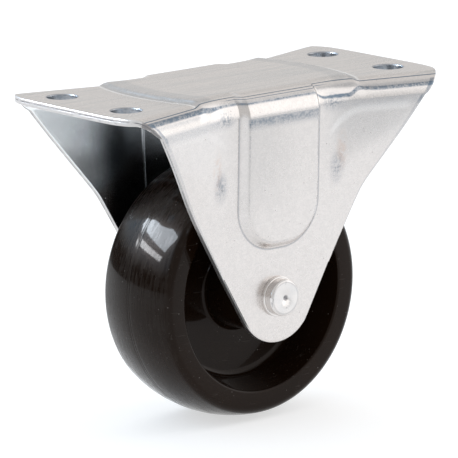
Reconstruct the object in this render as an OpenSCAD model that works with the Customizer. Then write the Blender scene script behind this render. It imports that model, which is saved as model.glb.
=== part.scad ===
// Fixed castor: a pressed sheet housing with two V-shaped legs, a one-piece moulded wheel
// on a spacer tube, and a riveted axle with a washer under each head.
// X is the rolling direction and the length of the plate, Y is the axle, Z is up.
// The origin is the middle of the four plate holes, on the top face of the plate's ends.

/* [Plate] */
// length of the top plate along the rolling direction
plate_length = 117; // [112:1:140]
// height that the middle of the plate stands above its ends
plate_raise = 1; // [0.4:0.1:1.6]
// half length of the raised middle, to the top of its step
raise_reach = 31; // [29:0.5:34]
// distance from each end of the plate to the middle of a hole
hole_inset = 10; // [8:0.5:11]
// distance between the plate holes across the plate
hole_spacing_y = 28.5; // [24:0.5:33]
// diameter of each plate hole
hole_diameter = 8.6; // [6:0.1:9]

/* [Sheet] */
// thickness of the pressed sheet
sheet = 2; // [1.5:0.1:2.2]
// outer radius of the bend between the plate and a leg
bend_radius = 6; // [5:0.25:7]
// distance from the plate holes' top face down to the axle
axle_drop = 59; // [57:0.5:66]
// distance between the outer faces of the legs at the axle
leg_span = 41.6; // [40.6:0.1:46]
// outward lean of a leg above the axle, rise over run
leg_lean = 0.04; // [0.02:0.01:0.08]
// radius of the leg's rounded tip around the axle
tip_radius = 13.4; // [12:0.2:15]

/* [Wings] */
// distance from the middle of a leg to the upright crease of its wing
crease_x = 22; // [20:0.5:24]
// outward slope of a wing past its crease
wing_slope = 0.3; // [0.2:0.01:0.34]
// height above the axle of the corner where the crease turns to the edge
crease_height = 33; // [30:0.5:36]

/* [Boss] */
// half width of the raised U on each leg, at its foot
boss_half_width = 14.9; // [14:0.1:16]
// outward rise of the U
boss_rise = 2.2; // [1:0.1:2.6]
// width of the sloped wall round the U
boss_wall = 2.5; // [2:0.1:3.5]
// height above the axle of the foot of the U
boss_foot = 14; // [12:0.5:18]

/* [Wheel] */
// diameter of the wheel at the middle of its tread
wheel_diameter = 75; // [70:0.5:76]
// width of the rim
rim_width = 29; // [26:0.5:31]
// radius of the rim's inner edge at the side face
recess_radius = 28.5; // [26:0.1:30]
// thickness of the web between the rim and the hub
web_thickness = 5; // [4:0.5:8]
// outer radius of the hub at its end
hub_radius = 10.75; // [10:0.25:13]

/* [Axle] */
// diameter of the rivet's shank
shank_diameter = 8; // [6:0.5:9]
// outer diameter of the spacer tube that the wheel turns on
sleeve_diameter = 12; // [11:0.5:14]
// diameter of a rivet head
head_diameter = 10.6; // [10:0.1:11.4]
// height of a rivet head above its washer
head_height = 2.6; // [2:0.1:3.2]
// diameter of a washer
washer_diameter = 11.6; // [11.4:0.1:13]
// thickness of a washer
washer_thickness = 1; // [0.8:0.1:1.4]

/* [Node] */
// the node to build, or all

/* [Hidden] */
round_steps = 96;
running_gap = 0.05;
cut = 1;

// Half section of the wheel, as radii and distances from its middle plane
tread_radius = wheel_diameter / 2;
crown_radius = 40;
shoulder_round = 2.5;
mouth_round = 0.8;
root_round = 1.6;
floor_round = 2.2;
hub_end_round = 0.8;
rim_draft = 2;
hub_draft = 1;
end_play = 0.4;
bore_chamfer = 0.5;
arc_steps = 6;
half_rim = rim_width / 2;
half_web = web_thickness / 2;
shoulder_y = half_rim - shoulder_round;
crown_angle = asin(shoulder_y / (crown_radius - shoulder_round));
shoulder_centre = tread_radius - crown_radius + (crown_radius - shoulder_round) * cos(crown_angle);
hub_end_y = leg_span / 2 - sheet - end_play;
bore_radius = sleeve_diameter / 2 + running_gap;
hub_root_radius = hub_radius + hub_draft;
rim_floor_radius = recess_radius - rim_draft;

// Rivet, as distances from the middle
head_foot_y = leg_span / 2 + washer_thickness;
head_round = 0.9;
rivet_hole_radius = shank_diameter / 2 + running_gap;
centre_mark_radius = 0.9;
centre_mark_depth = 0.4;

// Distance between the plate holes along the plate
hole_spacing_x = plate_length - 2 * hole_inset;

// Outline of a leg, as heights from the plate
bend_end_z = -bend_radius;
kink_height = 27.5;
kink_z = kink_height - axle_drop;
lower_angle = 30;
upper_slope = 0.67;
tip_corner_z = -axle_drop - tip_radius * sin(lower_angle);
sag_height = 14;
sag_end_z = sag_height - axle_drop;
leg_outer_y = leg_span / 2;
leg_inner_y = leg_outer_y - sheet;
lean_from = 8;
step_width = 2.7;
step_arc_radius = 55;
crease_softness = 4;
corner_reach = 3;
corner_power = 3;
bend_edge_power = 0.8;
boss_corner_radius = 13;

// Stations of the section, from the middle of the plate down to the tip
plate_rows = 6;
bend_rows = 6;
upper_rows = 8;
curve_rows = 10;
tip_rows = 7;
margin_above_curve = 4;
margin_below_curve = 2;
curve_top_z = boss_foot + boss_corner_radius + margin_above_curve - axle_drop;
curve_bottom_z = boss_foot - margin_below_curve - axle_drop;
section_rows = plate_rows + bend_rows + upper_rows + curve_rows + tip_rows;

// Columns: even across the boss and its wall, then even out to the edge
wall_margin = 0.6;
inner_span = boss_half_width + wall_margin;
narrow_edge = 20;
middle_columns = 4;
wall_columns = 4;
wing_columns = 9;
half_columns = middle_columns + wall_columns + wing_columns;

function mix(a, b, t) = a + (b - a) * t;
function clip(t) = min(1, max(0, t));
function ease(t) = let (c = clip(t)) c * c * (3 - 2 * c);
function soft_positive(d) = (d + sqrt(d * d + crease_softness * crease_softness)) / 2;
function soft_least(a, b) = (a + b - sqrt((a - b) * (a - b) + crease_softness * crease_softness)) / 2;

// Half width of the sheet at a height on the leg
lower_edge_at_kink = tip_radius / cos(lower_angle) + (kink_z + axle_drop) * tan(lower_angle);
function edge_x(z) = z < kink_z
    ? tip_radius / cos(lower_angle) + (z + axle_drop) * tan(lower_angle)
    : lower_edge_at_kink + (z - kink_z) * upper_slope;
bend_edge_x = edge_x(bend_end_z);

// Distance inside the outline of the U, negative outside it
function boss_inside(x, z) =
    let (h = z + axle_drop - boss_foot,
         dx = abs(x) - (boss_half_width - boss_corner_radius),
         dz = boss_corner_radius - h)
    h > boss_corner_radius ? boss_half_width - abs(x)
    : dx < 0 ? h
    : boss_corner_radius - norm([dx, dz]);
function boss(x, z) = boss_rise * ease(boss_inside(x, z) / boss_wall);

// Outward slope of the wing, past the upright crease and the crease that runs to the edge's kink
kink_x = lower_edge_at_kink;
crease_turn_z = crease_height - axle_drop;
crease_run = norm([kink_x - crease_x, kink_z - crease_turn_z]);
function wing(x, z) =
    let (upright = abs(x) - crease_x,
         slanted = ((abs(x) - crease_x) * (crease_turn_z - kink_z)
                    + (z - crease_turn_z) * (kink_x - crease_x)) / crease_run)
    wing_slope * soft_positive(soft_least(upright, slanted));

function leg_y(x, z) = leg_outer_y + leg_lean * max(0, z + axle_drop - lean_from)
    + (z + axle_drop > lean_from ? wing(x, z) + boss(x, z) : 0);

// Height of the plate's top face: the middle is raised behind an arched step
function plate_z(x, y) = plate_raise
    * (1 - ease((norm([abs(x) + step_arc_radius - raise_reach, y]) - step_arc_radius) / step_width));

// Row k of the section: [kind, value]
function row_kind(k) = k <= plate_rows ? 0 : k <= plate_rows + bend_rows ? 1 : 2;
function leg_row_z(k) = k <= upper_rows ? mix(bend_end_z, curve_top_z, k / upper_rows)
    : k <= upper_rows + curve_rows ? mix(curve_top_z, curve_bottom_z, (k - upper_rows) / curve_rows)
    : mix(curve_bottom_z, tip_corner_z, (k - upper_rows - curve_rows) / tip_rows);
function row_value(k) = row_kind(k) == 0 ? k / plate_rows
    : row_kind(k) == 1 ? 90 * (1 - (k - plate_rows) / bend_rows)
    : leg_row_z(k - plate_rows - bend_rows);

// Half width of each row
function row_edge(k) = let (v = row_value(k))
    row_kind(k) == 0 ? plate_length / 2 - corner_reach * pow(v, corner_power)
    : row_kind(k) == 1 ? mix(bend_edge_x, plate_length / 2 - corner_reach, pow(v / 90, bend_edge_power))
    : edge_x(v);

// Place of column j, from 0 at the middle to half_columns at the edge
function column_x(j, edge) =
    let (inner = inner_span * min(1, edge / narrow_edge),
         crest = inner * (boss_half_width - boss_wall) / inner_span)
    j <= middle_columns ? crest * j / middle_columns
    : j <= middle_columns + wall_columns ? mix(crest, inner, (j - middle_columns) / wall_columns)
    : mix(inner, edge, (j - middle_columns - wall_columns) / wing_columns);

// Sag of the lowest rows, which follow the round tip
function tip_share(z) = clip((sag_end_z - z) / (sag_end_z - tip_corner_z));
function tip_x(j, edge) = edge * sin((90 - lower_angle) * j / half_columns) / cos(lower_angle);
function leg_x(j, z) = mix(column_x(j, edge_x(z)), tip_x(j, edge_x(z)), ease(tip_share(z)));
function leg_z(j, z) = z - tip_share(z) * tip_radius
    * (cos((90 - lower_angle) * j / half_columns) - sin(lower_angle));

// Outer point and inner point of row k, column j, on the side where y is positive
function outer(k, j) = let (v = row_value(k), kind = row_kind(k))
    kind == 0 ? let (x = column_x(j, row_edge(k)),
                     y = (leg_y(x, bend_end_z) - bend_radius) * v)
                [x, y, plate_z(x, y)]
    : kind == 1 ? let (x = column_x(j, row_edge(k)),
                       foot = leg_y(x, bend_end_z),
                       top = plate_z(x, foot - bend_radius))
                  [x, foot - bend_radius * (1 - cos(v)), bend_end_z + (bend_radius + top) * sin(v)]
    : let (x = leg_x(j, v), z = leg_z(j, v)) [x, leg_y(x, z), z];
function inward(k) = let (v = row_value(k), kind = row_kind(k))
    kind == 0 ? [0, 0, -sheet] : kind == 1 ? [0, -sheet * cos(v), -sheet * sin(v)] : [0, -sheet, 0];

rows = 2 * section_rows + 1;
columns = 2 * half_columns + 1;
function side(n) = n < 0 ? -1 : 1;
function place(p, i, j) = [p[0] * side(j), p[1] * side(i), p[2]];
function sheet_point(i, j, inner) =
    let (p = outer(abs(i), abs(j)), q = inner ? p + inward(abs(i)) : p) place(q, i, j);
sheet_points = [for (inner = [false, true], i = [-section_rows:section_rows],
                     j = [-half_columns:half_columns]) sheet_point(i, j, inner)];
function at(i, j, face) = (face * rows + i) * columns + j;
outer_faces = [for (i = [0:rows - 2], j = [0:columns - 2])
    each [[at(i, j, 0), at(i + 1, j, 0), at(i + 1, j + 1, 0)], [at(i, j, 0), at(i + 1, j + 1, 0), at(i, j + 1, 0)]]];
inner_faces = [for (i = [0:rows - 2], j = [0:columns - 2])
    each [[at(i, j, 1), at(i + 1, j + 1, 1), at(i + 1, j, 1)], [at(i, j, 1), at(i, j + 1, 1), at(i + 1, j + 1, 1)]]];
edge_faces = [for (i = [0:rows - 2])
    each [[at(i, 0, 0), at(i, 0, 1), at(i + 1, 0, 1)], [at(i, 0, 0), at(i + 1, 0, 1), at(i + 1, 0, 0)],
          [at(i, columns - 1, 0), at(i + 1, columns - 1, 1), at(i, columns - 1, 1)],
          [at(i, columns - 1, 0), at(i + 1, columns - 1, 0), at(i + 1, columns - 1, 1)]]];
tip_faces = [for (j = [0:columns - 2])
    each [[at(0, j, 0), at(0, j + 1, 1), at(0, j, 1)], [at(0, j, 0), at(0, j + 1, 0), at(0, j + 1, 1)],
          [at(rows - 1, j, 0), at(rows - 1, j, 1), at(rows - 1, j + 1, 1)],
          [at(rows - 1, j, 0), at(rows - 1, j + 1, 1), at(rows - 1, j + 1, 0)]]];

module pressed_sheet() {
    polyhedron(points = sheet_points, faces = concat(outer_faces, inner_faces, edge_faces, tip_faces));
}

// Points of an arc round a centre, from one angle to another
function arc(centre, radius, from_angle, to_angle) = [for (k = [0:arc_steps])
    centre + radius * [cos(mix(from_angle, to_angle, k / arc_steps)), sin(mix(from_angle, to_angle, k / arc_steps))]];
function backwards(points) = [for (k = [len(points) - 1:-1:0]) [points[k][0], -points[k][1]]];

// One side of the wheel's section, from the bore out to the middle of the tread
wheel_side = concat(
    [[bore_radius, hub_end_y - bore_chamfer], [bore_radius + bore_chamfer, hub_end_y]],
    arc([hub_radius - hub_end_round, hub_end_y - hub_end_round], hub_end_round, 90, 0),
    arc([hub_root_radius + root_round, half_web + root_round], root_round, 180, 270),
    arc([rim_floor_radius - floor_round, half_web + floor_round], floor_round, 270, 360),
    arc([recess_radius + mouth_round, half_rim - mouth_round], mouth_round, 180, 90),
    arc([shoulder_centre, shoulder_y], shoulder_round, 90, crown_angle),
    arc([tread_radius - crown_radius, 0], crown_radius, crown_angle, 0));

// One half of the rivet's section, from the middle of its head's face to its shank
function rivet_side(mark) = concat(
    [[0, head_foot_y + head_height - mark], [centre_mark_radius, head_foot_y + head_height]],
    arc([head_diameter / 2 - head_round, head_foot_y + head_height - head_round], head_round, 90, 0),
    [[head_diameter / 2, head_foot_y], [shank_diameter / 2, head_foot_y]]);

// Turns a section about the axle, with the section's radius on X and its width towards the near leg
module turned(section) {
    translate([0, 0, -axle_drop]) rotate([90, 0, 0])
        rotate_extrude($fn = round_steps) polygon(section);
}

// A cylinder along the axle, from one y to another
module axle_cylinder(radius, from_y, to_y) {
    translate([0, to_y, -axle_drop]) rotate([90, 0, 0])
        cylinder(r = radius, h = to_y - from_y, $fn = round_steps);
}

// A ring along the axle, from one y to another
module axle_ring(outer_radius, inner_radius, from_y, to_y) {
    difference() {
        axle_cylinder(outer_radius, from_y, to_y);
        axle_cylinder(inner_radius, from_y - cut, to_y + cut);
    }
}

module housing() {
    color("silver") difference() {
        pressed_sheet();
        axle_cylinder(rivet_hole_radius, -leg_outer_y - cut, leg_outer_y + cut);
        for (x = [-1, 1], y = [-1, 1])
            translate([x * hole_spacing_x / 2, y * hole_spacing_y / 2, -sheet - cut])
                cylinder(d = hole_diameter, h = sheet + 2 * cut, $fn = round_steps);
    }
}

module wheel() {
    color("dimgray") turned(concat(wheel_side, backwards(wheel_side)));
}

module axle_rivet() {
    color("gainsboro") turned(concat(rivet_side(centre_mark_depth), backwards(rivet_side(0))));
}

module axle_sleeve() {
    color("lightgray") axle_ring(sleeve_diameter / 2, rivet_hole_radius, -leg_inner_y, leg_inner_y);
}

module rivet_washer_near() {
    color("gainsboro") axle_ring(washer_diameter / 2, rivet_hole_radius, -head_foot_y, -leg_outer_y);
}

module rivet_washer_far() {
    color("gainsboro") axle_ring(washer_diameter / 2, rivet_hole_radius, leg_outer_y, head_foot_y);
}

housing();
wheel();
axle_rivet();
axle_sleeve();
rivet_washer_near();
rivet_washer_far();
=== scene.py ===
import math

import bmesh
import bpy
from bpy.props import FloatProperty, FloatVectorProperty, IntProperty, PointerProperty
from mathutils import Matrix, Vector


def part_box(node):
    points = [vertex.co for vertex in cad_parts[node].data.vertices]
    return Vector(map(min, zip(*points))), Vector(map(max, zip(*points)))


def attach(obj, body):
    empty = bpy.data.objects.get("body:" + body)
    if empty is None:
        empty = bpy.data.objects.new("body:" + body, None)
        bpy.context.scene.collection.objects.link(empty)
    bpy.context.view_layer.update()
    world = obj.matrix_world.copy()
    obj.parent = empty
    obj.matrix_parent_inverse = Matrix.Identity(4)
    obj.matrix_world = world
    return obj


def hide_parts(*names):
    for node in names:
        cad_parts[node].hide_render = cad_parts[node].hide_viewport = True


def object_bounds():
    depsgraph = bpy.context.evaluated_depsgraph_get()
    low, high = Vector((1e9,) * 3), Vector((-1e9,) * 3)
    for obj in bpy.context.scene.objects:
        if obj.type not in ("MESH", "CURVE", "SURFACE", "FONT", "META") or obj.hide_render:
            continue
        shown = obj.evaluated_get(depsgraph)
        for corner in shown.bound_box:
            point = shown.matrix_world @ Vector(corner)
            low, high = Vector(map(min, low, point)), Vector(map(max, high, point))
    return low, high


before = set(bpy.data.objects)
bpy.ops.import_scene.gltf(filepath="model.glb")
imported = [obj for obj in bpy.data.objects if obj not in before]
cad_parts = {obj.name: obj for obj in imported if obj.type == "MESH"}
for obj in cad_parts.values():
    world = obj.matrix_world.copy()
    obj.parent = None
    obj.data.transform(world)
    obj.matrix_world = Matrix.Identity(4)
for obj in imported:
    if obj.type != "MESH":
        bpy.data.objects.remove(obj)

bl_info = {
    "name": "Fixed castor",
    "version": (1, 0, 0),
    "blender": (4, 5, 0),
    "location": "3D View > Sidebar > Castor",
    "description": "Builds a fixed castor with a pressed housing, a moulded wheel and a riveted axle",
    "category": "Add Mesh",
}

MM = 0.001
CAD_BOX = [list(corner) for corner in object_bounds()]
HOUSING_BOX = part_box("housing")
WHEEL_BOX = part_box("wheel")
RIVET_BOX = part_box("axle_rivet")
WASHER_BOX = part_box("rivet_washer_near")
AXLE = Vector((0, 0, (WHEEL_BOX[0][2] + WHEEL_BOX[1][2]) / 2))
# sockets of the Mix node when it mixes colours: share, first colour, second colour, and the result
MIX_SHARE, MIX_FIRST, MIX_SECOND, MIX_RESULT = 0, 6, 7, 2


def span(box, axis):
    """Length of a box along an axis, in millimetres."""
    return (box[1][axis] - box[0][axis]) / MM


def size(label, text, default, low, high):
    """A length that the sidebar shows, given in millimetres and kept in metres."""
    return FloatProperty(
        name=label, description=text, default=default * MM, min=low * MM, max=high * MM,
        subtype="DISTANCE", unit="LENGTH", precision=5)


def colour(label, text, default):
    """A colour that the sidebar shows."""
    return FloatVectorProperty(
        name=label, description=text, default=default, min=0, max=1, size=3, subtype="COLOR")


def factor(label, text, default, low=0.0, high=1.0):
    """A plain number that the sidebar shows."""
    return FloatProperty(name=label, description=text, default=default, min=low, max=high)


class HousingSettings(bpy.types.PropertyGroup):
    plate_length: size("Plate length", "Length of the top plate", span(HOUSING_BOX, 0), 100, 140)
    plate_raise: size("Plate raise", "Height of the middle above the ends", HOUSING_BOX[1][2] / MM, 0, 2)
    raise_reach: size("Raise reach", "Half length of the raised middle", 31, 28, 34)
    step_width: size("Step width", "Width of the arched step", 2.7, 1, 4)
    step_arc: size("Step arc", "Radius of the arched step", 55, 30, 90)
    hole_spacing_x: size("Hole spacing along", "Distance between the holes along the plate", 97, 80, 110)
    hole_spacing_y: size("Hole spacing across", "Distance between the holes across the plate", 28.5, 20, 36)
    hole_diameter: size("Hole diameter", "Diameter of each plate hole", 8.6, 5, 10)
    sheet: size("Sheet", "Thickness of the pressed sheet", 2, 1, 3)
    bend_radius: size("Bend radius", "Outer radius of the bend", 6, 4, 8)
    leg_span: size("Leg span", "Distance between the legs' outer faces at the axle", 41.6, 38, 48)
    tip_radius: size("Tip radius", "Radius of the leg's tip", 13.4, 10, 16)
    kink_height: size("Kink height", "Height above the axle where the leg's edge turns", 27.5, 20, 34)
    crease_x: size("Crease", "Distance from the leg's middle to its wing crease", 22, 18, 26)
    crease_height: size("Crease height", "Height above the axle where the crease turns", 33, 28, 38)
    crease_softness: size("Crease softness", "How gently the crease turns", 3.4, 1, 8)
    boss_half_width: size("Boss half width", "Half width of the raised U", 14.9, 12, 17)
    boss_rise: size("Boss rise", "Outward rise of the U", 2.2, 0.5, 3)
    boss_wall: size("Boss wall", "Width of the U's sloped wall", 2.5, 1, 4)
    boss_foot: size("Boss foot", "Height of the U's foot above the axle", 14, 10, 18)
    boss_corner: size("Boss corner", "Corner radius of the U", 13, 6, 14)
    edge_round: size("Edge round", "Rounding along the cut edge of the sheet", 0.3, 0.05, 0.8)
    leg_lean: factor("Leg lean", "Outward lean of the legs", 0.04)
    wing_slope: factor("Wing slope", "Outward slope of the wings", 0.3)
    upper_slope: factor("Edge slope", "Slope of the leg's edge above the kink", 0.67)
    zinc: colour("Zinc", "Colour of the bright zinc", (0.80, 0.752, 0.722))
    roughness: factor("Roughness", "Roughness of the zinc", 0.26)


class WheelSettings(bpy.types.PropertyGroup):
    diameter: size("Diameter", "Diameter at the middle of the tread", span(WHEEL_BOX, 0), 60, 90)
    rim_width: size("Rim width", "Width of the rim", 29, 24, 32)
    hub_end: size("Hub end", "Distance from the middle to the hub's end", WHEEL_BOX[1][1] / MM, 14, 22)
    recess_radius: size("Recess radius", "Inner radius of the rim at its side face", 28.5, 24, 32)
    web: size("Web", "Thickness of the web", 5, 3, 8)
    hub_radius: size("Hub radius", "Radius of the hub at its end", 10.75, 9, 14)
    bore_radius: size("Bore radius", "Radius of the bore", 6.05, 5, 8)
    parting: size("Parting line", "Height of the mould's parting line", 0.05, 0, 0.3)
    plastic: colour("Plastic", "Colour of the black plastic", (0.0075, 0.0036, 0.0018))
    turns: IntProperty(name="Steps", description="Steps round the wheel", default=192, min=48, max=256)


class AxleSettings(bpy.types.PropertyGroup):
    head_diameter: size("Head diameter", "Diameter of a rivet head", span(RIVET_BOX, 0), 8, 14)
    head_face: size("Head face", "Distance from the middle to a head's face", RIVET_BOX[1][1] / MM, 20, 30)
    shank_diameter: size("Shank diameter", "Diameter of the shank", 8, 6, 10)
    washer_diameter: size("Washer diameter", "Diameter of a washer", span(WASHER_BOX, 0), 10, 16)
    washer_inner: size(
        "Washer face", "Distance from the middle to a washer's inner face",
        -WASHER_BOX[1][1] / MM, 18, 26)
    washer_outer: size(
        "Washer outer face", "Distance from the middle to a washer's outer face",
        -WASHER_BOX[0][1] / MM, 18, 26)


class StageSettings(bpy.types.PropertyGroup):
    floor: colour("Floor", "Colour of the floor", (0.5, 0.5, 0.5))
    glow: factor("Floor glow", "Light that the floor gives off, as a light table does", 0.6, 0, 2)
    sky: factor("Surroundings", "Brightness of the pale surroundings", 0.72, 0, 3)
    lens: factor("Lens", "Focal length of the camera in millimetres", 384.2, 20, 800)


# Shader maths
class Wire:
    """A shader socket that adds and multiplies like a number."""

    def __init__(self, nodes, socket):
        self.nodes, self.socket = nodes, socket

    def maths(self, operation, *others):
        return self.nodes.make("ShaderNodeMath", {"operation": operation}, (self, *others))

    def __add__(self, other):
        return self.maths("ADD", other)

    def __mul__(self, other):
        return self.maths("MULTIPLY", other)

    def __sub__(self, other):
        return self.maths("SUBTRACT", other)

    def __rsub__(self, other):
        return self.nodes.make("ShaderNodeMath", {"operation": "SUBTRACT"}, (other, self))

    def __pow__(self, other):
        return self.maths("POWER", other)

    def __neg__(self):
        return self * -1

    def __abs__(self):
        return self.maths("ABSOLUTE")

    __radd__ = __add__
    __rmul__ = __mul__


class Nodes:
    """Makes and wires the nodes of one material or of the surroundings."""

    def __init__(self, tree):
        self.tree = tree
        tree.nodes.clear()

    def make(self, kind, settings=None, inputs=(), output=0):
        """A node with its settings and inputs. Gives one of its outputs."""
        node = self.tree.nodes.new(kind)
        for name, value in (settings or {}).items():
            setattr(node, name, value)
        for key, value in (inputs.items() if isinstance(inputs, dict) else enumerate(inputs)):
            socket = node.inputs[key]
            if isinstance(value, Wire):
                self.tree.links.new(value.socket, socket)
            elif hasattr(value, "__len__") and socket.type == "RGBA" and len(value) == 3:
                socket.default_value = (*value, 1)
            else:
                socket.default_value = value
        return Wire(self, node.outputs[output])

    def place(self):
        return self.make("ShaderNodeTexCoord", output="Object")

    def axes(self, vector):
        node = self.make("ShaderNodeSeparateXYZ", {}, (vector,)).socket.node
        return [Wire(self, node.outputs[k]) for k in range(3)]

    def stretch(self, vector, scale):
        return self.make("ShaderNodeVectorMath", {"operation": "MULTIPLY"}, (vector, scale))

    def noise(self, vector, scale, detail=4.0, roughness=0.55, distortion=0.0):
        inputs = {"Vector": vector, "Scale": scale, "Detail": detail}
        inputs.update({"Roughness": roughness, "Distortion": distortion})
        return self.make("ShaderNodeTexNoise", {}, inputs)

    def dots(self, vector, scale, low, high):
        """1 at scattered points, falling to 0 round them."""
        inputs = {"Vector": vector, "Scale": scale}
        away = self.make("ShaderNodeTexVoronoi", {"feature": "F1"}, inputs, "Distance")
        return 1 - self.step(away, low, high)

    def step(self, value, low, high):
        """0 below low, 1 above high, smooth between them."""
        inputs = (value, low, high, 0.0, 1.0)
        return self.make("ShaderNodeMapRange", {"interpolation_type": "SMOOTHSTEP"}, inputs)

    def band(self, value, low, high, soft):
        """1 from low to high, falling to 0 over soft on both sides."""
        return self.step(value, low - soft, low) * (1 - self.step(value, high, high + soft))

    def spot(self, vector, centre, radii):
        """1 at a point, falling to 0 at the radii round it."""
        scale = tuple(1 / r for r in radii)
        middle = tuple(c * k for c, k in zip(centre, scale))
        inputs = (self.stretch(vector, scale), middle)
        away = self.make("ShaderNodeVectorMath", {"operation": "DISTANCE"}, inputs, "Value")
        return 1 - self.step(away, 0.0, 1.0)

    def blend(self, share, first, second):
        inputs = {MIX_SHARE: share, MIX_FIRST: first, MIX_SECOND: second}
        return self.make("ShaderNodeMix", {"data_type": "RGBA"}, inputs, MIX_RESULT)

    def layers(self, tone, *coats):
        """Lays colours over a tone, each by its own share."""
        for share, shade in coats:
            tone = self.blend(share, tone, shade)
        return tone

    def bump(self, height, strength=0.35, distance=0.06 * MM):
        inputs = {"Height": height, "Strength": strength, "Distance": distance}
        return self.make("ShaderNodeBump", {}, inputs)

    def finish(self, **values):
        """The surface shader, with its inputs named as its sockets are."""
        names = {key.replace("_", " "): value for key, value in values.items()}
        self.end(self.make("ShaderNodeBsdfPrincipled", {}, names))

    def end(self, shader, kind="ShaderNodeOutputMaterial"):
        node = self.tree.nodes.new(kind)
        self.tree.links.new(shader.socket, node.inputs["Surface"])


def material(name):
    """A new material and what makes its nodes."""
    made = bpy.data.materials.new(name)
    made.use_nodes = True
    return made, Nodes(made.node_tree)


# Mesh helpers
def link_mesh(name, bm):
    """Makes a bmesh an object of the scene."""
    mesh = bpy.data.meshes.new(name)
    bm.to_mesh(mesh)
    bm.free()
    obj = bpy.data.objects.new(name, mesh)
    bpy.context.scene.collection.objects.link(obj)
    return obj


def smooth_object(name, bm, shiny, body, replaced, crease=40):
    """Turns a bmesh into a piece that rides on a body and stands for CAD nodes."""
    for face in bm.faces:
        face.smooth = True
    for edge in bm.edges:
        if len(edge.link_faces) == 2:
            edge.smooth = edge.calc_face_angle(0) < math.radians(crease)
    obj = link_mesh(name, bm)
    obj.data.materials.append(shiny)
    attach(obj, body)
    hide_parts(*replaced)
    return obj


def arc(centre, radius, start, end, steps=6):
    """Points of an arc in a section, as (radius from the axle, distance along it)."""
    angles = [math.radians(start + (end - start) * k / steps) for k in range(steps + 1)]
    return [(centre[0] + radius * math.cos(a), centre[1] + radius * math.sin(a)) for a in angles]


def spin_points(points, axis, turns, closed):
    """Joins points to a line or a loop and spins it about an axis through the origin."""
    bm = bmesh.new()
    verts = [bm.verts.new(point) for point in points]
    edges = [bm.edges.new(pair) for pair in zip(verts, verts[1:])]
    if closed:
        edges.append(bm.edges.new((verts[-1], verts[0])))
    bmesh.ops.spin(
        bm, geom=verts + edges, cent=(0, 0, 0), axis=axis, angle=math.tau, steps=turns, use_merge=True)
    bmesh.ops.remove_doubles(bm, verts=bm.verts, dist=1e-7)
    bmesh.ops.recalc_face_normals(bm, faces=bm.faces)
    return bm


def lathe(section, turns, closed=True):
    """Spins a section about the axle line."""
    bm = spin_points([(r, y, 0) for r, y in section], (0, 1, 0), turns, closed)
    bmesh.ops.translate(bm, vec=AXLE, verts=bm.verts)
    return bm


# Housing
def ease(t):
    """Smooth step from 0 to 1."""
    t = min(1.0, max(0.0, t))
    return t * t * (3 - 2 * t)


def mix(a, b, t):
    """The value at share t of the way from a to b."""
    return a + (b - a) * t


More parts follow.
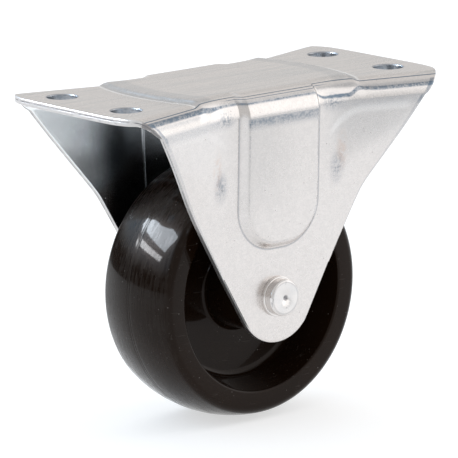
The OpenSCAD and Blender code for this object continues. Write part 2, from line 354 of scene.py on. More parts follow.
class Sheet:
    """The pressed sheet's outer face, from the middle of the plate down to the tip of a leg."""

    lower_angle = math.radians(30)
    plate_rows, bend_rows, leg_rows = 22, 18, 74
    middle_columns, wall_columns, wing_columns = 12, 14, 36
    # above the axle: the leg starts to lean at the first height, and the tip's rows fan out below the second
    lean_start, fan_start = 8 * MM, 14 * MM
    # the columns' margin outside the raised U, and the half width below which it narrows with the leg
    boss_margin, narrow_edge = 0.6 * MM, 20 * MM
    # how far the plate's end falls back at its corner, and how late
    corner, corner_power, bend_power = 2.6 * MM, 7, 0.8
    uv_unit = 100 * MM

    def __init__(self, s):
        self.s = s
        self.drop = -AXLE.z
        self.bend_end = -s.bend_radius
        self.kink_z = s.kink_height - self.drop
        self.foot_edge = s.tip_radius / math.cos(self.lower_angle)
        self.kink_x = self.foot_edge + s.kink_height * math.tan(self.lower_angle)
        self.tip_corner = -self.drop - s.tip_radius * math.sin(self.lower_angle)
        self.sag_end = self.fan_start - self.drop
        self.rows = self.plate_rows + self.bend_rows + self.leg_rows
        self.columns = self.middle_columns + self.wall_columns + self.wing_columns

    def edge_x(self, z):
        """Half width of the leg."""
        if z < self.kink_z:
            return self.foot_edge + (z + self.drop) * math.tan(self.lower_angle)
        return self.kink_x + (z - self.kink_z) * self.s.upper_slope

    def boss(self, x, z):
        """How far the raised U stands out."""
        s = self.s
        height = z + self.drop - s.boss_foot
        dx, dz = abs(x) - (s.boss_half_width - s.boss_corner), s.boss_corner - height
        if height > s.boss_corner:
            inside = s.boss_half_width - abs(x)
        elif dx < 0:
            inside = height
        else:
            inside = s.boss_corner - math.hypot(dx, dz)
        return s.boss_rise * ease(inside / s.boss_wall)

    def wing(self, x, z):
        """How far the wing splays out past its crease."""
        s = self.s
        soft = s.crease_softness
        turn = s.crease_height - self.drop
        run = math.hypot(self.kink_x - s.crease_x, self.kink_z - turn)
        upright = abs(x) - s.crease_x
        slanted = (upright * (turn - self.kink_z) + (z - turn) * (self.kink_x - s.crease_x)) / run
        least = (upright + slanted - math.hypot(upright - slanted, soft)) / 2
        return s.wing_slope * (least + math.hypot(least, soft)) / 2

    def leg_y(self, x, z):
        """Distance of the leg's outer face from the middle."""
        above = z + self.drop - self.lean_start
        y = self.s.leg_span / 2 + self.s.leg_lean * max(0, above)
        return y + (self.wing(x, z) + self.boss(x, z) if above > 0 else 0)

    def plate_z(self, x, y):
        """Height of the plate's top face."""
        s = self.s
        out = math.hypot(abs(x) + s.step_arc - s.raise_reach, y) - s.step_arc
        return s.plate_raise * (1 - ease(out / s.step_width))

    def column_x(self, j, edge):
        """Where column j lies between the middle and the edge."""
        foot = self.s.boss_half_width + self.boss_margin
        inner = foot * min(1, edge / self.narrow_edge)
        crest = inner * (self.s.boss_half_width - self.s.boss_wall) / foot
        if j <= self.middle_columns:
            return crest * j / self.middle_columns
        if j <= self.middle_columns + self.wall_columns:
            return mix(crest, inner, (j - self.middle_columns) / self.wall_columns)
        return mix(inner, edge, (j - self.middle_columns - self.wall_columns) / self.wing_columns)

    def point(self, i, j):
        """Outer point and the way in through the sheet, for row i and column j of one quarter."""
        s = self.s
        reach = s.plate_length / 2 - self.corner
        if i <= self.plate_rows:
            share = i / self.plate_rows
            x = self.column_x(j, s.plate_length / 2 - self.corner * share ** self.corner_power)
            y = (self.leg_y(x, self.bend_end) - s.bend_radius) * share
            return Vector((x, y, self.plate_z(x, y))), Vector((0, 0, -s.sheet)), share
        if i <= self.plate_rows + self.bend_rows:
            turned = (i - self.plate_rows) / self.bend_rows
            angle = math.radians(90 * (1 - turned))
            x = self.column_x(j, mix(self.edge_x(self.bend_end), reach, (1 - turned) ** self.bend_power))
            foot = self.leg_y(x, self.bend_end)
            top = self.plate_z(x, foot - s.bend_radius)
            y = foot - s.bend_radius * (1 - math.cos(angle))
            z = self.bend_end + (s.bend_radius + top) * math.sin(angle)
            way_in = Vector((0, -s.sheet * math.cos(angle), -s.sheet * math.sin(angle)))
            return Vector((x, y, z)), way_in, 1 + turned
        down = (i - self.plate_rows - self.bend_rows) / self.leg_rows
        row_z = mix(self.bend_end, self.tip_corner, down)
        edge = self.edge_x(row_z)
        sag = min(1.0, max(0.0, (self.sag_end - row_z) / (self.sag_end - self.tip_corner)))
        fan = (math.pi / 2 - self.lower_angle) * j / self.columns
        x = mix(self.column_x(j, edge), edge * math.sin(fan) / math.cos(self.lower_angle), ease(sag))
        z = row_z - sag * s.tip_radius * (math.cos(fan) - math.sin(self.lower_angle))
        return Vector((x, self.leg_y(x, z), z)), Vector((0, -s.sheet, 0)), 2 + down


def housing_mesh(s):
    """A grid bent over the plate, bends and legs, given its thickness and rounded along its cut edge."""
    surface = Sheet(s)
    bm = bmesh.new()
    flow, skin = bm.loops.layers.uv.new("flow"), bm.loops.layers.uv.new("skin")
    bmesh.ops.create_grid(bm, x_segments=2 * surface.columns, y_segments=2 * surface.rows, size=1)
    across = bm.verts.layers.float.new("across")
    along = bm.verts.layers.float.new("along")
    depth = bm.verts.layers.float.new("depth")
    outward = bm.verts.layers.float.new("outward")
    ways_in = []
    for vert in bm.verts:
        j, i = round(vert.co.x * surface.columns), round(vert.co.y * surface.rows)
        out, way_in, station = surface.point(abs(i), abs(j))
        flip = Vector((-1 if j < 0 else 1, -1 if i < 0 else 1, 1))
        vert.co = out * flip
        vert[across], vert[along] = vert.co.x / surface.uv_unit, station
        vert[outward] = abs(j) / surface.columns
        ways_in.append(way_in * flip)
    outer = list(bm.verts)
    copy = bmesh.ops.duplicate(bm, geom=outer + list(bm.edges) + list(bm.faces))
    for vert, way_in in zip(outer, ways_in):
        inner = copy["vert_map"][vert]
        inner.co = vert.co + way_in
        inner[depth] = 1
    inner_faces = [f for f in copy["geom"] if isinstance(f, bmesh.types.BMFace)]
    bmesh.ops.reverse_faces(bm, faces=inner_faces)
    rims = [e for e in bm.edges if e.is_boundary]
    bmesh.ops.bridge_loops(bm, edges=rims)
    bmesh.ops.recalc_face_normals(bm, faces=bm.faces)
    bmesh.ops.bevel(
        bm, geom=rims, offset=s.edge_round, segments=3, profile=0.5, affect="EDGES", material=-1)
    for face in bm.faces:
        for loop in face.loops:
            loop[flow].uv = (loop.vert[across], loop.vert[along])
            loop[skin].uv = (loop.vert[depth], loop.vert[outward])
    return bm


def hole_cutter(s, x, y):
    """A punch with a flared mouth at the top and the bottom of the sheet."""
    r, flare, chamfer, past = s.hole_diameter / 2, 0.35 * MM, 0.2 * MM, 1.5 * MM
    wide, under, turns = r + flare, r + chamfer, 56
    section = [(0.0, past), (wide, past), (wide, 0.0)]
    section += [(wide - flare * math.sin(a), -flare * (1 - math.cos(a))) for a in (0.5, 1.0, math.pi / 2)]
    section += [(r, -s.sheet + chamfer), (under, -s.sheet), (under, -s.sheet - past), (0.0, -s.sheet - past)]
    bm = spin_points([(radius, 0, z) for radius, z in section], (0, 0, 1), turns, False)
    bmesh.ops.translate(bm, vec=(x, y, 0), verts=bm.verts)
    return bm


def cut(obj, cutters):
    """Takes the cutters out of an object and keeps the result as its mesh."""
    made = []
    for k, bm in enumerate(cutters):
        tool = link_mesh(f"cutter_{k}", bm)
        made.append(tool)
        hole = obj.modifiers.new(f"hole_{k}", "BOOLEAN")
        hole.operation, hole.solver, hole.object = "DIFFERENCE", "EXACT", tool
    even = obj.modifiers.new("even_normals", "WEIGHTED_NORMAL")
    even.keep_sharp = True
    bpy.context.view_layer.update()
    result = obj.evaluated_get(bpy.context.evaluated_depsgraph_get())
    done = bpy.data.meshes.new_from_object(result)
    done.name = obj.name
    obj.modifiers.clear()
    obj.data = done
    for tool in made:
        bpy.data.objects.remove(tool)


class ZincPlaces:
    """Where a point of the sheet lies, and the noises that the zinc's finish is made from."""

    def __init__(self, n):
        self.p = n.place()
        self.x, self.y, self.z = n.axes(self.p)
        self.side = abs(self.x)
        # station: 0 along the plate's middle, 1 where the bend starts, 2 where the leg starts, 3 at its tip
        self.station = n.axes(n.make("ShaderNodeUVMap", {"uv_map": "flow"}))[1]
        # depth: 0 on the outer face, 1 on the inner one; outward: 0 along the middle, 1 at the cut edge
        self.depth, self.outward, _ = n.axes(n.make("ShaderNodeUVMap", {"uv_map": "skin"}))
        self.outside = 1 - n.step(self.depth, 0.02, 0.12)
        self.sheared = n.band(self.depth, 0.1, 0.9, 0.08)
        self.top = 1 - n.step(self.station, 1.28, 1.36)
        self.bend = n.band(self.station, 1.3, 1.95, 0.06)
        self.leg = n.step(self.station, 1.93, 2.0)

        self.fine = n.noise(self.p, 3300.0, 2.0, 0.5)
        self.grain = n.noise(self.p, 1500.0, 3.0, 0.6)
        self.mottle = n.noise(self.p, 520.0, 4.0, 0.65)
        self.cloud = n.noise(self.p, 60.0, 4.0, 0.6)
        self.streak = n.noise(n.stretch(self.p, (70.0, 2200.0, 2200.0)), 1.0, 4.0, 0.65)
        self.broad = n.noise(n.stretch(self.p, (22.0, 420.0, 420.0)), 1.0, 3.0, 0.6)
        mixed = self.grain * 0.7 + self.fine * 0.3 + (self.mottle - 0.5) * 0.5
        self.speckle = n.step(mixed, 0.42, 0.58)


def painted_bend_shade(n, at):
    """Painted shade along the bend: a dark band in place of a reflection, fine crease lines painted dark,
    and shade below the bend. Gives the shade and the lines.
    """
    wings = n.step(at.side, 14 * MM, 34 * MM)
    left = n.step(-at.x, 20 * MM, 28 * MM)
    right = n.band(at.x, 18 * MM, 25 * MM, 4 * MM)
    # the band lies higher on the left wing, and lower just right of the raised U
    shifted = at.station + n.step(-at.x, 24 * MM, 32 * MM) * 0.14
    shifted = shifted - n.band(at.x, 17 * MM, 25 * MM, 5 * MM) * 0.22 - n.step(at.x, 28 * MM, 36 * MM) * 0.05
    lower_side = shifted - wings * 0.06 - left * 0.05
    # a painted dark band in place of the reflection of the dark band in the surroundings
    painted_reflection_band = n.step(shifted, 1.52, 1.57) * (1 - n.step(lower_side, 1.58, 1.64))
    # painted shade in fine crease lines across the bend
    crest = n.band(at.station, 1.326, 1.338, 0.012 + wings * 0.012)
    second = n.band(at.station, 1.42, 1.428, 0.012) * (1 - n.step(at.side, 16 * MM, 20 * MM))
    # painted shade just below the bend over the raised U, and at the bend's foot on the wings
    under = n.step(at.station, 1.98, 2.012) * (1 - n.step(at.station, 2.015, 2.065))
    under = under * (1 - n.step(at.side, 12.4 * MM, 13.4 * MM))
    foot = n.band(at.station, 1.97, 2.01, 0.04) * n.step(at.side, 15 * MM, 20 * MM)
    dark = painted_reflection_band * (0.42 + left * 0.15 + right * 0.3 + at.speckle * 0.4)
    dark = dark + (crest + second) * 0.95 + under * (0.32 + at.speckle * 0.38)
    return dark + foot * (0.1 + at.speckle * 0.14), crest + second


def zinc_sheet(s):
    """Bright zinc: streaks, painted shade and highlights on the plate's arched steps, painted shade and
    reflections along the bends, by the creases, round the raised U and on the inner faces, a sheared edge.
    """
    made, n = material("zinc_sheet")
    at = ZincPlaces(n)
    bend_shade, bend_lines = painted_bend_shade(n, at)

    # painted shade in two dark speckled spots beside the raised U near the wing crease, and a rust spot,
    # mirrored on all four quarters
    marks = n.make("ShaderNodeCombineXYZ", {}, (at.side, 0.0, at.z))
    shoulder = n.spot(marks, (19.5 * MM, 0, -5.0 * MM), (5.5 * MM, 1, 3.2 * MM))
    crease_shade_spot = n.spot(marks, (21.5 * MM, 0, -24.5 * MM), (3.6 * MM, 1, 6.5 * MM))
    rust = n.spot(marks, (23.0 * MM, 0, -20.0 * MM), (2.6 * MM, 1, 9.0 * MM)) * n.step(at.mottle, 0.4, 0.6)
    # painted shade in a dark line along the bend's cut end, and dirt
    edge_shade_line = n.band(at.outward, 0.978, 0.99, 0.008) * n.step(at.station, 1.46, 1.5)
    edge_shade_line = edge_shade_line * (0.3 + (1 - n.step(at.station, 1.95, 2.1)) * 0.6) * n.step(at.mottle, 0.3, 0.5)
    dirt = n.dots(at.p, 620.0, 0.05, 0.17) * n.step(n.noise(at.p, 150.0, 2.0), 0.55, 0.66)

    # the holes: painted shade round the mouth, and painted shade in specks in the bore
    hole_x, hole_y = at.side - s.hole_spacing_x / 2, abs(at.y) - s.hole_spacing_y / 2
    ring = (hole_x * hole_x + hole_y * hole_y) ** 0.5 - s.hole_diameter / 2
    mouth = n.band(ring, -0.05 * MM, 0.35 * MM, 0.15 * MM) * (1 - at.depth)
    bore = (1 - n.step(ring, 0.0, 0.1 * MM)) * at.top

    # the raised U: painted shade on its sloped wall and on the upper left of its face, and fine lines of
    # painted shade round its foot and its rim
    height = at.z - (AXLE.z + s.boss_foot)
    run = (at.side - (s.boss_half_width - s.boss_corner)).maths("MAXIMUM", 0.0)
    fall = (s.boss_corner - height).maths("MAXIMUM", 0.0)
    inside = s.boss_corner - (run * run + fall * fall) ** 0.5
    foot_groove_shade = n.band(inside, -0.1 * MM, 0.15 * MM, 0.2 * MM) * at.leg
    rim = n.band(inside, 2.3 * MM, 2.5 * MM, 0.3 * MM) * at.leg * n.step(at.mottle, 0.42, 0.6)
    wall = n.band(inside, 0.3 * MM, 3.0 * MM, 1.2 * MM) * at.leg
    wall = wall * (0.45 + n.step(height, 6 * MM, 12 * MM) * 0.55)
    face = n.step(inside, 1.5 * MM, 3.0 * MM) * at.leg
    face = face * n.step(-at.x, -10 * MM, 10 * MM) * n.step(at.z, -42 * MM, -18 * MM)

    # the arched steps near the plate's ends: painted shade in the valley and on the brow, and a painted
    # highlight along the flank
    arch = ((at.side + (s.step_arc - s.raise_reach)) ** 2 + at.y * at.y) ** 0.5 - s.step_arc
    arch = arch * at.top * at.outside
    valley_shade = n.band(arch, 1.0 * MM, 2.4 * MM, 1.2 * MM)
    brow_shade = n.band(arch, -3.5 * MM, -1.0 * MM, 2.0 * MM) * (0.5 + at.streak * 0.5)
    flank_highlight = n.band(arch, 3.2 * MM, 3.6 * MM, 0.5 * MM)
    streaks = n.step(at.streak, 0.4, 0.7) * 0.3 + n.step(at.broad, 0.42, 0.66) * 0.2

    # the wings: shade below the bend, and light along the fold that runs down from it
    right_half = n.step(at.x, 0.0, 10 * MM)
    shade = n.step(at.station, 1.6, 1.7) * (1 - n.step(at.station, 2.1, 2.3))
    shade = shade * n.step(at.side, 15 * MM, 22 * MM)
    fold = -8.2 * MM - ((30 * MM - at.side).maths("MAXIMUM", 0.0) ** 2) * 50
    ridge = n.band(at.z - fold, -0.3 * MM, 0.3 * MM, 1.6 * MM) * n.band(at.side, 21 * MM, 42 * MM, 3 * MM)

    # the inner faces: painted lighter, and painted dark in the middle as a reflection of the wheel
    within = (1 - at.outside) * (1 - at.sheared) * n.step(at.station, 1.0, 1.4)
    wheel_reflection_shade = 0.45 + (1 - n.step(at.z, -22 * MM, -8 * MM)) * 0.45
    wheel_reflection_shade = within * (1 - n.step(at.side, 24 * MM, 33 * MM)) * wheel_reflection_shade

    # the cut edge: burnished near the top face, torn below a thin dark line
    torn = n.step(at.depth, 0.5, 0.6)
    tear = n.band(at.depth, 0.36, 0.46, 0.06) * n.step(at.mottle, 0.38, 0.5)
    chips = torn * n.step(n.noise(at.p, 1100.0, 2.0), 0.58, 0.66)

    # painted shade and reflection, laid on below in a dark blue-grey
    dark = bend_shade + shoulder * at.speckle * 0.5 + crease_shade_spot * (0.16 + at.speckle * 0.44) + edge_shade_line * 0.6
    dark = dark + mouth * 0.5 + bore * at.speckle * 0.2 + foot_groove_shade * 0.35 + rim * 0.2
    dark = dark * at.outside
    clouds = n.step(at.cloud, 0.3, 0.7) * 0.3
    tone = n.layers(
        n.blend(clouds, tuple(s.zinc), tuple(c * 0.94 for c in s.zinc)),
        (streaks * at.top * at.outside, (0.46, 0.5, 0.52)),
        ((valley_shade * 0.34 + brow_shade * 0.3) * at.outside, (0.24, 0.29, 0.34)),
        (flank_highlight * 0.7 * at.outside, (1.0, 1.0, 1.0)),
        ((face * 0.35 + wall * 0.05) * at.outside, (0.5, 0.49, 0.48)),
        ((1 - at.speckle) * 0.1 * at.outside, (0.3, 0.3, 0.3)),
        (shade * at.outside * (0.12 + right_half * 0.14), (0.52, 0.53, 0.54)),
        (within * 0.95, (0.96, 0.985, 1.0)),
        (wheel_reflection_shade, (0.07, 0.085, 0.1)),
        (at.sheared * 0.55, (0.42, 0.42, 0.43)),
        (ridge * at.leg * at.outside * (0.06 + right_half * 0.24), (0.97, 0.96, 0.95)),
        (rust * at.outside * 0.6, (0.6, 0.48, 0.42)),
        (dark.maths("MINIMUM", 0.9), (0.1, 0.15, 0.21)),
        (dirt * 0.5, (0.22, 0.2, 0.19)),
        (at.sheared * at.bend * n.step(at.mottle, 0.4, 0.52) * 0.7, (0.1, 0.09, 0.09)),
        ((tear * 0.85 + chips * 0.45) * at.sheared, (0.15, 0.15, 0.16)),
    )
    rough = s.roughness + (at.grain - 0.5) * 0.1 + (at.cloud - 0.5) * 0.06
    rough = rough + dark * 0.1 + dirt * 0.2 + at.sheared * 0.1 - at.bend * 0.05 - within * 0.02
    relief = (at.streak * 0.8 + at.broad * 2.0) * at.top + at.grain * 0.3 + at.mottle * 0.4
    relief = relief + at.fine * (0.12 + at.bend * 0.5 + shoulder * 0.5)
    relief = relief - dirt * 0.8 - (bend_lines + foot_groove_shade) * 2.0 - tear * at.sheared * 3.0
    n.finish(Base_Color=tone, Metallic=1.0, Roughness=rough, Normal=n.bump(relief))
    return made


class CASTOR_OT_housing(bpy.types.Operator):
    """Presses the sheet housing: the plate, both bends and both legs"""
    bl_idname = "castor.housing"
    bl_label = "Pressed housing"

    def execute(self, context):
        s = context.scene.castor_housing
        bm = housing_mesh(s)
        finish = zinc_sheet(s)
        obj = smooth_object("pressed_housing", bm, finish, "bracket", ["housing"], crease=50)
        across, along = s.hole_spacing_x / 2, s.hole_spacing_y / 2
        cut(obj, [hole_cutter(s, x * across, y * along) for x in (-1, 1) for y in (-1, 1)])
        return {"FINISHED"}


# Wheel
def wheel_section(s):
    """The wheel's section: one half from the bore to the tread, and its mirror image."""
    r, half, web = s.diameter / 2, s.rim_width / 2, s.web / 2
    crown, shoulder = 40 * MM, 2.5 * MM
    end_round, root_round, floor_round, side_round = 0.8 * MM, 1.6 * MM, 2.2 * MM, 0.8 * MM
    hub_draft, recess_draft, chamfer, burr = 1 * MM, 2 * MM, 0.5 * MM, 0.15 * MM
    reach = half - shoulder
    tilt = math.degrees(math.asin(reach / (crown - shoulder)))
    corner = r - crown + (crown - shoulder) * math.cos(math.radians(tilt))
    floor_r, hub_root = s.recess_radius - recess_draft, s.hub_radius + hub_draft
    side = [(s.bore_radius, s.hub_end - chamfer), (s.bore_radius + burr, s.hub_end - burr)]
    side += [(s.bore_radius + chamfer, s.hub_end)]
    side += arc((s.hub_radius - end_round, s.hub_end - end_round), end_round, 90, 2)
    side += arc((hub_root + root_round, web + root_round), root_round, 178, 270, 8)
    side += arc((floor_r - floor_round, web + floor_round), floor_round, 270, 351, 8)
    side += arc((s.recess_radius + side_round, half - side_round), side_round, 171, 90, 7)
    side += arc((corner, reach), shoulder, 90, tilt, 10)
    side += arc((r - crown, 0), crown, tilt, 0.8, 22)[1:]
    # the parting line: shares of its height, and their distances from the middle in millimetres
    ridge = [(r + s.parting * k, y * MM) for k, y in ((0.0, 0.3), (0.7, 0.16), (1.0, 0.06))]
    ridge = [(radius - (y ** 2) / (2 * crown) - s.parting, y) for radius, y in ridge]
    half_section = side + ridge
    return half_section + [(radius, -y) for radius, y in reversed(half_section)]


def black_plastic(s):
    """Moulded black plastic: glossy, with a scuffed tread, fine scratches and dust."""
    made, n = material("black_plastic")
    p = n.place()
    x, y, z = n.axes(p)
    rise = z - AXLE.z
    radius = (x * x + rise * rise) ** 0.5
    tread = n.step(radius, 33.5 * MM, 35.5 * MM)
    flow = n.noise(p, 38.0, 4.0, 0.6, 0.6)
    patch = n.noise(p, 95.0, 4.0, 0.65)
    fine = n.noise(p, 900.0, 4.0, 0.6)
    brushed = n.noise(n.stretch(p, (190.0, 1400.0, 190.0)), 1.0, 4.0, 0.6, 0.5)
    scuffed = n.step(brushed + (patch - 0.5) * 0.8, 0.42, 0.62)
    specks = n.dots(p, 520.0, 0.04, 0.13) * n.step(n.noise(p, 120.0, 2.0), 0.5, 0.6)
    hair = n.step(n.noise(n.stretch(p, (90.0, 1700.0, 800.0)), 1.0, 2.0, 0.5, 1.6), 0.665, 0.71)
    seam = n.band(abs(y), -0.06 * MM, 0.06 * MM, 0.1 * MM) * tread
    worn = scuffed * tread
    dusty = (specks * 0.35 + hair * 0.05 + worn * 0.02).maths("MINIMUM", 1.0)
    tone = n.blend(n.step(flow, 0.3, 0.7), tuple(s.plastic), tuple(c * 1.3 for c in s.plastic))
    tone = n.blend(dusty, tone, (0.3, 0.29, 0.28))
    rough = 0.24 + (fine - 0.5) * 0.1 + worn * 0.12 + specks * 0.2
    coat = 1 - (worn * 0.2 + specks * 0.5 + hair * 0.3 + seam * 0.3).maths("MINIMUM", 0.9)
    relief = fine * 0.16 + (brushed * 0.1 + patch * 0.6) * tread + flow * 1.6 - hair * 0.5 + specks * 0.8
    n.finish(
        Base_Color=tone, Roughness=rough, Specular_IOR_Level=0.05, Specular_Tint=(1.0, 0.78, 0.68, 1),
        Coat_Weight=coat, Coat_Roughness=0.06, Coat_IOR=1.19, Normal=n.bump(relief))
    return made


class CASTOR_OT_wheel(bpy.types.Operator):
    """Turns the moulded wheel with its hub, web and rim"""
    bl_idname = "castor.wheel"
    bl_label = "Moulded wheel"

    def execute(self, context):
        s = context.scene.castor_wheel
        bm = lathe(wheel_section(s), s.turns)
        smooth_object("moulded_wheel", bm, black_plastic(s), "wheel", ["wheel"])
        return {"FINISHED"}


# Axle
def zinc_rivet():
    """Bright zinc on the turned rivet and washers, with nicks, painted shade in the dimple in the head's
    middle, and a painted dark ring near the head's rim.
    """
    made, n = material("zinc_rivet")
    p = n.place()
    x, _, z = n.axes(p)
    grain = n.noise(p, 1500.0, 4.0, 0.6)
    cloud = n.noise(p, 260.0, 4.0, 0.6)
    nick = n.step(n.noise(n.stretch(p, (700.0, 700.0, 320.0)), 1.0, 3.0, 0.5, 0.8), 0.64, 0.7)
    away = (x * x + (z - AXLE.z) ** 2) ** 0.5
    # painted shade in the head's dimple, and a thin painted dark ring near its rounded rim
    mark = (1 - n.step(away, 0.5 * MM, 1.1 * MM)) * 0.9 + n.band(away, 4.5 * MM, 4.7 * MM, 0.3 * MM) * 0.25
    tone = n.layers(
        n.blend(n.step(cloud, 0.35, 0.7) * 0.5, (0.76, 0.73, 0.71), (0.64, 0.63, 0.63)),
        (nick * 0.5, (0.25, 0.25, 0.26)),
        (mark, (0.2, 0.2, 0.21)),
    )
    rough = 0.16 + (grain - 0.5) * 0.12 + nick * 0.1
    n.finish(Base_Color=tone, Metallic=1.0, Roughness=rough, Normal=n.bump(grain + cloud * 1.5 - nick * 2.0))
    return made


def steel_tube():
    """Drawn steel, with fine lines along the tube."""
    made, n = material("steel_tube")
    drawn = n.noise(n.stretch(n.place(), (900.0, 30.0, 900.0)), 1.0, 4.0)
    tone = n.blend(drawn, (0.5, 0.5, 0.51), (0.66, 0.65, 0.64))
    normal = n.bump(drawn, 0.3, 0.05 * MM)
    n.finish(Base_Color=tone, Metallic=1.0, Roughness=0.3 + drawn * 0.15, Normal=normal)
    return made


def rivet_head(s, mark):
    """Half of the rivet's section, from the mark in the head's middle to the shank."""
    r, face, round_over, burr = s.head_diameter / 2, s.head_face, 0.8 * MM, 0.15 * MM
    side = [(0.0, face - mark), (0.45 * MM, face - mark * 0.8), (0.9 * MM, face - 0.02 * MM)]
    side += arc((r - round_over, face - round_over), round_over, 88, 4, 7)
    side += [(r, s.washer_outer + burr), (r - burr, s.washer_outer)]
    return side + [(s.shank_diameter / 2, s.washer_outer)]


def rivet_section(s):
    """The rivet's section: a dimple in the near head, and a flatter one in the far head."""
    near, far = rivet_head(s, 0.4 * MM), rivet_head(s, 0.05 * MM)
    return [(a, -b) for a, b in near] + [(a, b) for a, b in reversed(far)]


def washer_section(s, sign):
    """A stamped washer's section, rounder on its outer face."""
    inner, outer, hole, edge = s.washer_inner, s.washer_outer, s.shank_diameter / 2 + 0.05 * MM, 0.22 * MM
    r = s.washer_diameter / 2
    loop = [(hole, inner), (r - edge * 0.5, inner)] + arc((r - edge, inner + edge), edge, -60, 0, 3)
    loop += arc((r - edge, outer - edge), edge, 0, 90, 4) + [(hole + edge, outer), (hole, outer - edge)]
    return [(a, b * sign) for a, b in loop]


class CASTOR_OT_axle(bpy.types.Operator):
    """Turns the rivet and the washer under each of its heads, and finishes the spacer tube"""
    bl_idname = "castor.axle"
    bl_label = "Riveted axle"

    def execute(self, context):
        s = context.scene.castor_axle
        shiny, turns = zinc_rivet(), 72
        bm = lathe(rivet_section(s), turns, closed=False)
        smooth_object("rivet", bm, shiny, "bracket", ["axle_rivet"])
        for sign, side in ((-1, "near"), (1, "far")):
            bm = lathe(washer_section(s, sign), turns)
            smooth_object(f"washer_{side}", bm, shiny, "bracket", [f"rivet_washer_{side}"])
        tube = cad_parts["axle_sleeve"]
        tube.data.materials.clear()
        tube.data.materials.append(steel_tube())
        return {"FINISHED"}


# Stage
def pale_floor(s):
    """A pale floor that gives off some light, as a light table does, with its colour and glow painted dimmer
    towards the front as a pool of light falls off.
    """
    made, n = material("pale_floor")
    x, y, _ = n.axes(n.place())
    front = -y - abs(x) * 0.35
    painted_falloff = n.step(front, 0.12, 0.34) * 0.28 + n.step(front, 0.34, 1.2) * 0.1
    light = n.blend(painted_falloff, (1, 1, 1), (0, 0, 0))
    pale = n.stretch(light, tuple(s.floor))
    n.finish(
        Base_Color=pale, Roughness=0.9, Specular_IOR_Level=0.1,
        Emission_Color=light, Emission_Strength=s.glow)
    return made


def surroundings(s):
    """White for the camera. For reflections pale, with a darker band and a blue glow at the back left."""
    world = bpy.data.worlds.new("surroundings")
    world.use_nodes = True
    n = Nodes(world.node_tree)
    x, y, z = n.axes(n.make("ShaderNodeTexCoord", output="Generated"))
    over = z.maths("ARCTAN2", -y) * math.degrees(1)
    gap = n.band(over, 48.0, 66.0, 6.0) * 0.12
    above = n.band(over, 72.0, 110.0, 10.0) * 0.12
    back_left = n.step(-x, -0.4, -0.15) * n.step(y, -0.15, 0.1)
    low = back_left * (1 - n.step(z, 0.14, 0.28))
    glow = back_left * n.step(z, 0.18, 0.36) * (1 - n.step(z, 0.78, 0.88))
    right = n.step(x, 0.6, 0.85) * (1 - n.step(y, -0.15, 0.2)) * 0.5
    level = (s.sky + right + glow * 0.9 + above) * (1 - gap) * (1 - low * 0.98)
    seen = n.make("ShaderNodeLightPath", output="Is Camera Ray")
    tint = n.layers(
        n.blend(gap, (1.0, 0.99, 0.98), (0.4, 0.7, 1.0)),
        (glow, (0.6, 0.8, 1.0)),
        (seen, (1.0, 1.0, 1.0)),
    )
    inputs = {"Color": tint, "Strength": level + seen * (1.0 - level)}
    n.end(n.make("ShaderNodeBackground", {}, inputs), "ShaderNodeOutputWorld")
    return world


def softbox(name, towards, distance, width, height, power, tint=(1, 1, 1), seen=True, diffuse=True):
    """A light panel that faces the castor. It shows in reflections (seen), lights dull surfaces, or both."""
    light = bpy.data.lights.new(name, "AREA")
    light.shape, light.size, light.size_y = "RECTANGLE", width, height
    light.energy, light.color = power, tint
    obj = bpy.data.objects.new(name, light)
    back = Vector(towards).normalized()
    aim = AXLE + Vector((0, 0, 20 * MM))
    obj.location = aim + back * distance
    obj.rotation_euler = back.to_track_quat("Z", "Y").to_euler()
    obj.visible_glossy, obj.visible_diffuse = seen, diffuse
    obj.visible_camera = False
    bpy.context.scene.collection.objects.link(obj)


def fitted_camera(s):
    """The camera, turned and placed as the photograph's was found to be."""
    view = bpy.data.cameras.new("camera")
    view.sensor_width, view.lens = 36, s.lens
    view.clip_start, view.clip_end = 0.05, 30
    camera = bpy.data.objects.new("camera", view)
    right = Vector((0.76393865, -0.64516125, -0.01283333))
    up = Vector((0.14541222, 0.15273902, 0.97751014))
    back = Vector((-0.62869152, -0.7486239, 0.21049757))
    place = AXLE + Vector((-0.8780975, -1.0454717, 0.3101339))
    turn = Matrix((right, up, back)).transposed().to_4x4()
    camera.matrix_world = Matrix.Translation(place) @ turn
    bpy.context.scene.collection.objects.link(camera)
    return camera


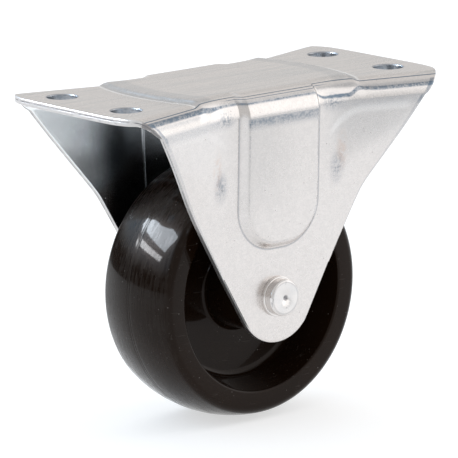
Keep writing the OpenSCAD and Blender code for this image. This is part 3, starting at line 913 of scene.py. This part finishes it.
class CASTOR_OT_stage(bpy.types.Operator):
    """Sets the pale floor, the surroundings, the soft lights and the camera"""
    bl_idname = "castor.stage"
    bl_label = "Stage"

    def execute(self, context):
        s = context.scene.castor_stage
        scene = context.scene
        bm = bmesh.new()
        bmesh.ops.create_grid(bm, x_segments=4, y_segments=4, size=9)
        bmesh.ops.translate(bm, vec=(0, 0, CAD_BOX[0][2]), verts=bm.verts)
        floor = link_mesh("floor", bm)
        floor.data.materials.append(pale_floor(s))
        scene.world = surroundings(s)

        warm, warmer = (1.0, 0.985, 0.975), (1.0, 0.98, 0.965)
        cool, blue = (0.95, 0.97, 1.0), (0.82, 0.91, 1.0)
        softbox("front_right", (0.61, -0.73, 0.32), 1.3, 1.4, 1.2, 3.6, warm, diffuse=False)
        softbox("key_right", (0.85, -0.5, 0.5), 0.75, 0.5, 0.5, 1.2, warmer, seen=False)
        softbox("back_top", (0.3, 0.62, 0.75), 1.2, 0.9, 0.9, 3.0, seen=False)
        softbox("window_large", (-0.576, 0.537, 0.616), 1.3, 0.92, 0.36, 40.0, blue, diffuse=False)
        softbox("window_bar", (-0.715, 0.58, 0.4), 1.3, 0.75, 0.09, 8.0, cool, diffuse=False)

        scene.camera = fitted_camera(s)
        scene.view_settings.view_transform = "Standard"
        return {"FINISHED"}


class CASTOR_PT_panel(bpy.types.Panel):
    """Lists the steps in order, each with its sizes and colours"""
    bl_idname = "CASTOR_PT_panel"
    bl_label = "Fixed castor"
    bl_space_type = "VIEW_3D"
    bl_region_type = "UI"
    bl_category = "Castor"

    def draw(self, context):
        layout = self.layout
        for kind, group in STEPS:
            box = layout.box()
            box.operator(kind.bl_idname)
            settings = getattr(context.scene, group)
            for name in settings.bl_rna.properties.keys():
                if name not in {"rna_type", "name"}:
                    box.prop(settings, name)


STEPS = (
    (CASTOR_OT_housing, "castor_housing"),
    (CASTOR_OT_wheel, "castor_wheel"),
    (CASTOR_OT_axle, "castor_axle"),
    (CASTOR_OT_stage, "castor_stage"),
)
GROUPS = {
    "castor_housing": HousingSettings,
    "castor_wheel": WheelSettings,
    "castor_axle": AxleSettings,
    "castor_stage": StageSettings,
}


def register():
    for name, group in GROUPS.items():
        bpy.utils.register_class(group)
        setattr(bpy.types.Scene, name, PointerProperty(type=group))
    for kind, _ in STEPS:
        bpy.utils.register_class(kind)
    bpy.utils.register_class(CASTOR_PT_panel)


def unregister():
    bpy.utils.unregister_class(CASTOR_PT_panel)
    for kind, _ in reversed(STEPS):
        bpy.utils.unregister_class(kind)
    for name, group in GROUPS.items():
        delattr(bpy.types.Scene, name)
        bpy.utils.unregister_class(group)


def main():
    register()
    bpy.ops.castor.housing()
    bpy.ops.castor.wheel()
    bpy.ops.castor.axle()
    bpy.ops.castor.stage()


if __name__ == "__main__":
    main()
